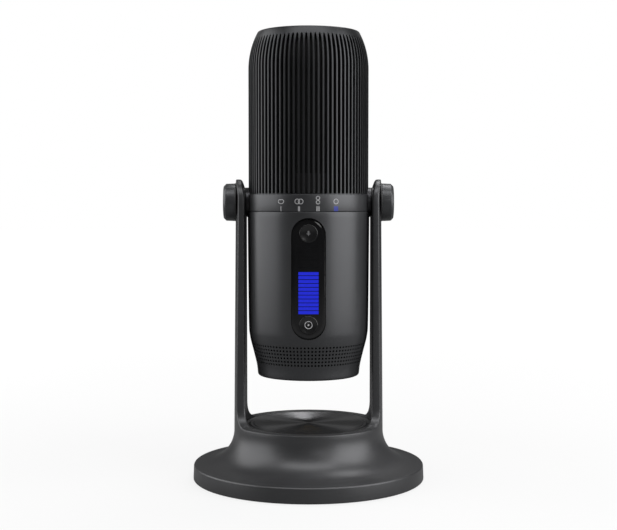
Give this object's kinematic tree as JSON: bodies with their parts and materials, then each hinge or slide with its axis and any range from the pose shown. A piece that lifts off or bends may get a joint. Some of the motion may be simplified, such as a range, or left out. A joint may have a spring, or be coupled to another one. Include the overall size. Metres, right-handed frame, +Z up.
{
  "type": "desktop microphone",
  "caption": "Desktop condenser microphone: a ribbed cylindrical grille and tapered body with a lit front panel, tilting between the arms of a round weighted fork stand.",
  "frame": {"origin": "centre of the round base on the surface it stands on", "axes": "+Z up along the stand's axis, control panel facing -Y, +X to the viewer's right, along the tilt pivot"},
  "size_m": [0.12, 0.12, 0.2312],
  "materials": {
    "stand_paint": "satin",
    "body_anodised": "satin",
    "grille_paint": "satin",
    "platter_spun": "satin",
    "knob_metal": "satin",
    "ballast_iron": "matte",
    "plate_steel": "matte",
    "screw_steel": "satin",
    "foot_rubber": "matte",
    "washer_nylon": "satin",
    "hub_metal": "satin",
    "bush_brass": "satin",
    "gauze": "matte",
    "black_moulding": "satin",
    "panel_gloss": "gloss",
    "button_cap": "satin",
    "bar_lit": "gloss",
    "bar_unlit": "gloss",
    "light_lit": "matte",
    "light_unlit": "matte",
    "circuit_board": "satin",
    "chip_black": "satin",
    "socket_steel": "polished",
    "capsule_brass": "satin",
    "cable_sleeve": "matte"
  },
  "bodies": {
    "stand": {"stand_casting": "stand_paint", "platter": "platter_spun", "ballast_weight": "ballast_iron", "ballast_screw": "screw_steel", "base_plate": "plate_steel", "foot_ring": "foot_rubber", "base_screws": "screw_steel", "left_arm_bush": "bush_brass", "right_arm_bush": "bush_brass"},
    "mic": {"grille_cage": "grille_paint", "grille_liner": "gauze", "grille_collar": "black_moulding", "indicator_ring": "body_anodised", "pattern_lights_off": "light_unlit", "pattern_light_on": "light_lit", "body_shell": "body_anodised", "vent_liner": "gauze", "bottom_cover": "black_moulding", "bottom_screws": "screw_steel", "thread_insert": "bush_brass", "usb_socket": "socket_steel", "headphone_jack": "black_moulding", "front_panel": "panel_gloss", "meter_bars_lit": "bar_lit", "meter_bars_unlit": "bar_unlit", "panel_carrier": "black_moulding", "control_board": "circuit_board", "meter_leds": "light_unlit", "button_switches": "chip_black", "rear_panel": "panel_gloss", "rear_board": "circuit_board", "rotary_controls": "chip_black", "inner_chassis": "black_moulding", "main_board": "circuit_board", "board_parts": "chip_black", "board_standoffs": "bush_brass", "io_board": "circuit_board", "stalk_isolator": "foot_rubber", "capsule_stalk": "black_moulding", "capsule_holder": "black_moulding", "capsules": "capsule_brass", "capsule_cable": "cable_sleeve", "left_pivot_hub": "hub_metal", "right_pivot_hub": "hub_metal", "left_friction_washer": "washer_nylon", "right_friction_washer": "washer_nylon"},
    "mute_button": {"mute_button": "button_cap"},
    "monitor_button": {"monitor_button": "button_cap"},
    "pattern_knob": {"pattern_shaft": "screw_steel", "pattern_knob": "knob_metal"},
    "gain_knob": {"gain_shaft": "screw_steel", "gain_knob": "knob_metal"},
    "left_knob_washer": {"left_knob_washer": "washer_nylon"},
    "right_knob_washer": {"right_knob_washer": "washer_nylon"},
    "left_knob": {"left_knob": "knob_metal", "left_knob_stud": "screw_steel"},
    "right_knob": {"right_knob": "knob_metal", "right_knob_stud": "screw_steel"}
  },
  "joints": [
    {"name": "mic_tilt", "type": "hinge", "parent": "stand", "child": "mic", "pos_m": [0, 0, 0.1437], "axis": [1, 0, 0], "continuous": true},
    {"name": "mute_press", "type": "slide", "parent": "mic", "child": "mute_button", "axis": [0, 1, 0], "range_m": [0, 0.0005], "stiffness_N_per_m": 500},
    {"name": "monitor_press", "type": "slide", "parent": "mic", "child": "monitor_button", "axis": [0, 1, 0], "range_m": [0, 0.0005], "stiffness_N_per_m": 500},
    {"name": "pattern_turn", "type": "hinge", "parent": "mic", "child": "pattern_knob", "pos_m": [0, 0.0336, 0.119], "axis": [0, 1, 0], "range_deg": [0, 90]},
    {"name": "gain_turn", "type": "hinge", "parent": "mic", "child": "gain_knob", "pos_m": [0, 0.0336, 0.091], "axis": [0, 1, 0], "range_deg": [-140, 140]},
    {"name": "left_knob_advance", "type": "slide", "parent": "mic", "child": "left_knob_washer", "axis": [-1, 0, 0], "range_m": [0, 0.0021]},
    {"name": "left_knob_turn", "type": "hinge", "parent": "left_knob_washer", "child": "left_knob", "pos_m": [-0.0412, 0, 0.1437], "axis": [-1, 0, 0], "range_deg": [0, 720]},
    {"name": "right_knob_advance", "type": "slide", "parent": "mic", "child": "right_knob_washer", "axis": [1, 0, 0], "range_m": [0, 0.0021]},
    {"name": "right_knob_turn", "type": "hinge", "parent": "right_knob_washer", "child": "right_knob", "pos_m": [0.0412, 0, 0.1437], "axis": [1, 0, 0], "range_deg": [0, 720]}
  ],
  "couplings": [
    {"joint": "left_knob_advance", "follows": "left_knob_turn", "m_per_rad": 0.00015915},
    {"joint": "right_knob_advance", "follows": "right_knob_turn", "m_per_rad": 0.00015915}
  ]
}
